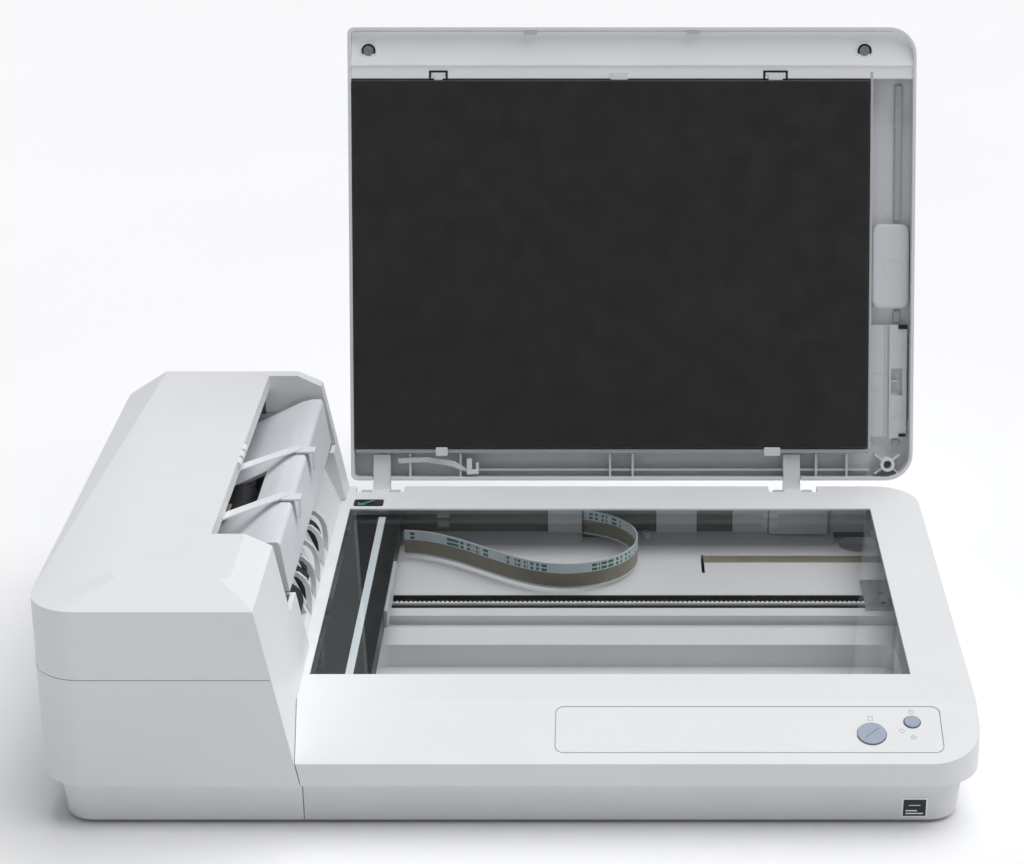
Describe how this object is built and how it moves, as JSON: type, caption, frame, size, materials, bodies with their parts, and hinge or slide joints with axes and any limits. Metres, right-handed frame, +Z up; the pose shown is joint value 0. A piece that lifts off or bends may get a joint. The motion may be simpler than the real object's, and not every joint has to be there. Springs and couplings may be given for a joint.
{
  "type": "sheet fed document scanner",
  "caption": "Desktop document scanner: sheet feeder with exit rollers at the left, flatbed glass with a hinged lid standing open at the right, buttons on the sloped front.",
  "frame": {"origin": "centre of the base's footprint on the desk, on the face of the central foot", "axes": "+X to the right across the flatbed, +Y to the back, +Z up; the lid is open at its stop at rest"},
  "size_m": [0.451, 0.4493, 0.3067],
  "materials": {
    "white_case": "fine moulded grain",
    "grey_case": "fine moulded grain",
    "inner_grey": "plain moulded",
    "white_guide": "smooth",
    "clear_glass": "polished",
    "button_plastic": "satin",
    "dark_label": "printed film",
    "black_plastic": "plain moulded",
    "belt_rubber": "moulded teeth",
    "sheet_steel": "bright zinc plate",
    "turned_steel": "ground",
    "brass": "cut teeth",
    "sensor_white": "smooth",
    "flat_cable": "film over copper strips",
    "board_green": "solder mask",
    "gear_plastic": "natural acetal",
    "roller_rubber": "ground",
    "foot_rubber": "moulded",
    "pad_black": "backed foam sheet",
    "tan_plate": "smooth",
    "lamp_lens": "clear lens"
  },
  "bodies": {
    "base": {"bottom_plate": "grey_case", "feet": "foot_rubber", "lower_case": "grey_case", "rear_rib_wall": "inner_grey", "top_frame": "white_case", "platen_glass": "clear_glass", "panel_plate": "white_case", "status_lamp": "lamp_lens", "origin_label": "dark_label", "front_label": "dark_label", "guide_rail": "black_plastic", "drive_belt": "belt_rubber", "belt_anchor": "black_plastic", "belt_bracket": "sheet_steel", "ribbon_cable": "flat_cable", "main_board": "board_green", "power_socket": "black_plastic", "usb_socket": "sheet_steel", "feeder_case": "white_case", "cover_hinge_pins": "turned_steel", "chute_guide": "white_guide", "exit_fins": "white_guide", "separation_plate": "tan_plate", "side_plates": "sheet_steel", "turn_guide": "inner_grey", "lower_guide": "inner_grey", "feeder_sensors": "black_plastic", "feeder_motor": "sheet_steel", "hinge_blocks": "inner_grey"},
    "scan_button": {"scan_button": "button_plastic"},
    "power_button": {"power_button": "button_plastic"},
    "carriage": {"carriage_body": "black_plastic", "sensor_bar": "sensor_white", "carriage_slider": "inner_grey", "scan_motor": "sheet_steel"},
    "motor_pinion": {"motor_pinion": "brass"},
    "feeder_cover": {"feeder_cover": "white_case", "hold_down_strips": "white_guide"},
    "feed_rollers": {"feed_shaft": "turned_steel", "feed_rollers": "roller_rubber", "feed_gear": "gear_plastic"},
    "pick_roller": {"pick_shaft": "turned_steel", "pick_roller": "roller_rubber", "pick_gear": "gear_plastic"},
    "transfer_gear": {"transfer_gear": "gear_plastic"},
    "exit_rollers": {"exit_shaft": "turned_steel", "exit_rollers": "roller_rubber", "exit_gear": "gear_plastic"},
    "exit_idlers": {"exit_idlers": "white_guide"},
    "feeder_pinion": {"feeder_pinion": "brass"},
    "lid": {"lid_shell": "white_case", "lid_liner": "inner_grey", "document_pad": "pad_black", "lid_fittings": "white_guide", "lid_hinges": "white_case"},
    "input_chute": {"input_chute": "white_case"},
    "front_side_guide": {"front_side_guide": "white_guide"},
    "rear_side_guide": {"rear_side_guide": "white_guide"},
    "chute_pinion": {"chute_pinion": "gear_plastic"}
  },
  "joints": [
    {"name": "lid_hinge", "type": "hinge", "parent": "base", "child": "lid", "pos_m": [0, 0.155, 0.046], "axis": [1, 0, 0], "range_deg": [0, 105.7]},
    {"name": "cover_hinge", "type": "hinge", "parent": "base", "child": "feeder_cover", "pos_m": [-0.2242, 0, 0.0822], "axis": [0, -1, 0], "range_deg": [0, 70]},
    {"name": "carriage_slide", "type": "slide", "parent": "base", "child": "carriage", "axis": [1, 0, 0], "range_m": [0, 0.265], "deforming": ["ribbon_cable"]},
    {"name": "pinion_spin", "type": "hinge", "parent": "carriage", "child": "motor_pinion", "pos_m": [-0.092, 0.055, 0], "axis": [0, 0, 1], "range_deg": [-3796.3, 0]},
    {"name": "scan_button_press", "type": "slide", "parent": "base", "child": "scan_button", "axis": [0, 0.3371, -0.9415], "range_m": [0, 0.0008], "stiffness_N_per_m": 250, "springref_m": -0.0008},
    {"name": "power_button_press", "type": "slide", "parent": "base", "child": "power_button", "axis": [0, 0.3371, -0.9415], "range_m": [0, 0.0008], "stiffness_N_per_m": 250, "springref_m": -0.0008},
    {"name": "feed_spin", "type": "hinge", "parent": "base", "child": "feed_rollers", "pos_m": [-0.186, 0, 0.076], "axis": [0, -1, 0], "continuous": true},
    {"name": "pick_spin", "type": "hinge", "parent": "base", "child": "pick_roller", "pos_m": [-0.15043, 0, 0.0862], "axis": [0, -1, 0], "continuous": true},
    {"name": "transfer_spin", "type": "hinge", "parent": "base", "child": "transfer_gear", "pos_m": [-0.14385, 0, 0.0675], "axis": [0, -1, 0], "continuous": true},
    {"name": "exit_spin", "type": "hinge", "parent": "base", "child": "exit_rollers", "pos_m": [-0.1213, 0, 0.06295], "axis": [0, -1, 0], "continuous": true},
    {"name": "idler_spin", "type": "hinge", "parent": "base", "child": "exit_idlers", "pos_m": [-0.12449, 0, 0.07797], "axis": [0, -1, 0], "continuous": true},
    {"name": "feeder_pinion_spin", "type": "hinge", "parent": "base", "child": "feeder_pinion", "pos_m": [-0.19208, 0, 0.04153], "axis": [0, -1, 0], "continuous": true},
    {"name": "chute_hinge", "type": "hinge", "parent": "lid", "child": "input_chute", "pos_m": [-0.0964, 0.25008, 0.18028], "axis": [0, 0.2706, 0.9627], "range_deg": [0, 40]},
    {"name": "rear_guide_slide", "type": "slide", "parent": "input_chute", "child": "rear_side_guide", "axis": [0, 0.2706, 0.9627], "range_m": [0, 0.08]},
    {"name": "front_guide_slide", "type": "slide", "parent": "input_chute", "child": "front_side_guide", "axis": [0, -0.2706, -0.9627], "range_m": [0, 0.08]},
    {"name": "chute_pinion_spin", "type": "hinge", "parent": "input_chute", "child": "chute_pinion", "pos_m": [-0.01627, 0.23558, 0.17241], "axis": [0.1461, 0.9524, -0.2677], "range_deg": [-509.8, 0]}
  ],
  "couplings": [
    {"joint": "pinion_spin", "follows": "carriage_slide", "rad_per_m": -250},
    {"joint": "pick_spin", "follows": "feed_spin", "ratio": -3.625},
    {"joint": "transfer_spin", "follows": "feed_spin", "ratio": -2.0714},
    {"joint": "exit_spin", "follows": "feed_spin", "ratio": 3.2222},
    {"joint": "idler_spin", "follows": "feed_spin", "ratio": -7.3551},
    {"joint": "feeder_pinion_spin", "follows": "feed_spin", "ratio": -4.8333},
    {"joint": "front_guide_slide", "follows": "rear_guide_slide", "ratio": 1},
    {"joint": "chute_pinion_spin", "follows": "rear_guide_slide", "rad_per_m": -111.11}
  ]
}
